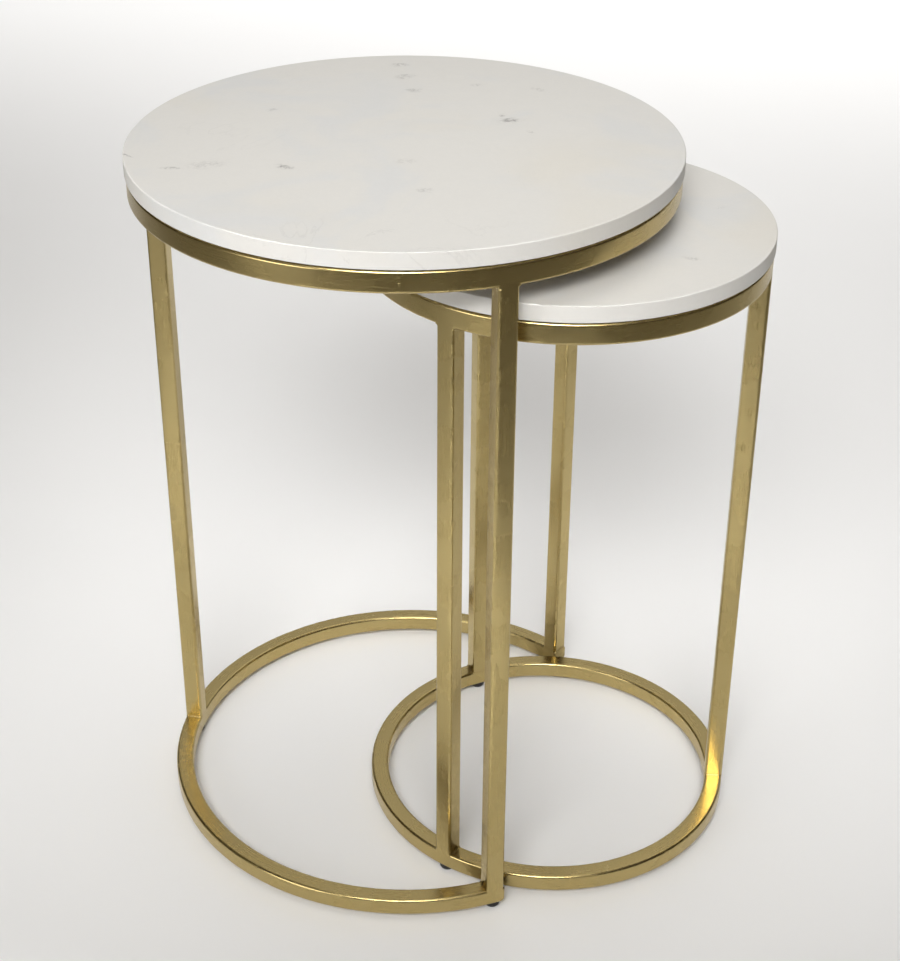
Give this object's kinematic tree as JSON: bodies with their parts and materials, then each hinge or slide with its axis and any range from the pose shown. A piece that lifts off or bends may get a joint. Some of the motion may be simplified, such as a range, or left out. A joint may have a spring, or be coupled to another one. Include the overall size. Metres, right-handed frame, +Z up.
{
  "type": "nesting tables",
  "caption": "Pair of round nesting side tables: stone tops on three-legged square-tube frames, the large base ring open on one side so that the small table slides in.",
  "frame": {"origin": "on the floor, at the middle of the footprint of the pair as it stands, with the small table drawn out 134 mm", "axes": "+Z up; +X is the way the small table draws out through the open side of the large one; the large table's front leg is on the -Y side"},
  "size_m": [0.5269, 0.45, 0.63],
  "materials": {
    "white_marble": "honed white marble with sparse grey flecks and eased edges",
    "brushed_gold": "satin brushed gold plating on steel tube",
    "insert_brass": "plain turned",
    "zinc_steel": "bright zinc plated",
    "clear_silicone": "soft translucent",
    "black_rubber": "matte moulded"
  },
  "bodies": {
    "large_table": {"large_base_cap_back": "brushed_gold", "large_base_cap_front": "brushed_gold", "large_base_ring": "brushed_gold", "large_foot_bushes": "zinc_steel", "large_leg_back": "brushed_gold", "large_leg_front": "brushed_gold", "large_leg_left": "brushed_gold", "large_stone_top": "white_marble", "large_top_cushions": "clear_silicone", "large_top_inserts": "insert_brass", "large_top_ring": "brushed_gold", "large_top_screws": "zinc_steel", "large_top_tabs": "brushed_gold", "large_top_washers": "zinc_steel"},
    "small_table": {"small_base_ring": "brushed_gold", "small_foot_bushes": "zinc_steel", "small_leg_back": "brushed_gold", "small_leg_front": "brushed_gold", "small_leg_right": "brushed_gold", "small_stone_top": "white_marble", "small_top_cushions": "clear_silicone", "small_top_inserts": "insert_brass", "small_top_ring": "brushed_gold", "small_top_screws": "zinc_steel", "small_top_tabs": "brushed_gold", "small_top_washers": "zinc_steel"},
    "large_foot_left": {"large_foot_pad_left": "black_rubber", "large_foot_stud_left": "zinc_steel"},
    "large_foot_front": {"large_foot_pad_front": "black_rubber", "large_foot_stud_front": "zinc_steel"},
    "large_foot_back": {"large_foot_pad_back": "black_rubber", "large_foot_stud_back": "zinc_steel"},
    "small_foot_right": {"small_foot_pad_right": "black_rubber", "small_foot_stud_right": "zinc_steel"},
    "small_foot_front": {"small_foot_pad_front": "black_rubber", "small_foot_stud_front": "zinc_steel"},
    "small_foot_back": {"small_foot_pad_back": "black_rubber", "small_foot_stud_back": "zinc_steel"}
  },
  "joints": [
    {"name": "small_table_slide", "type": "slide", "parent": "large_table", "child": "small_table", "axis": [1, 0, 0], "range_m": [-0.134, 0.276]},
    {"name": "large_foot_left_level", "type": "slide", "parent": "large_table", "child": "large_foot_left", "axis": [0, 0, -1], "range_m": [0, 0.008]},
    {"name": "large_foot_front_level", "type": "slide", "parent": "large_table", "child": "large_foot_front", "axis": [0, 0, -1], "range_m": [0, 0.008]},
    {"name": "large_foot_back_level", "type": "slide", "parent": "large_table", "child": "large_foot_back", "axis": [0, 0, -1], "range_m": [0, 0.008]},
    {"name": "small_foot_right_level", "type": "slide", "parent": "small_table", "child": "small_foot_right", "axis": [0, 0, -1], "range_m": [0, 0.008]},
    {"name": "small_foot_front_level", "type": "slide", "parent": "small_table", "child": "small_foot_front", "axis": [0, 0, -1], "range_m": [0, 0.008]},
    {"name": "small_foot_back_level", "type": "slide", "parent": "small_table", "child": "small_foot_back", "axis": [0, 0, -1], "range_m": [0, 0.008]}
  ]
}
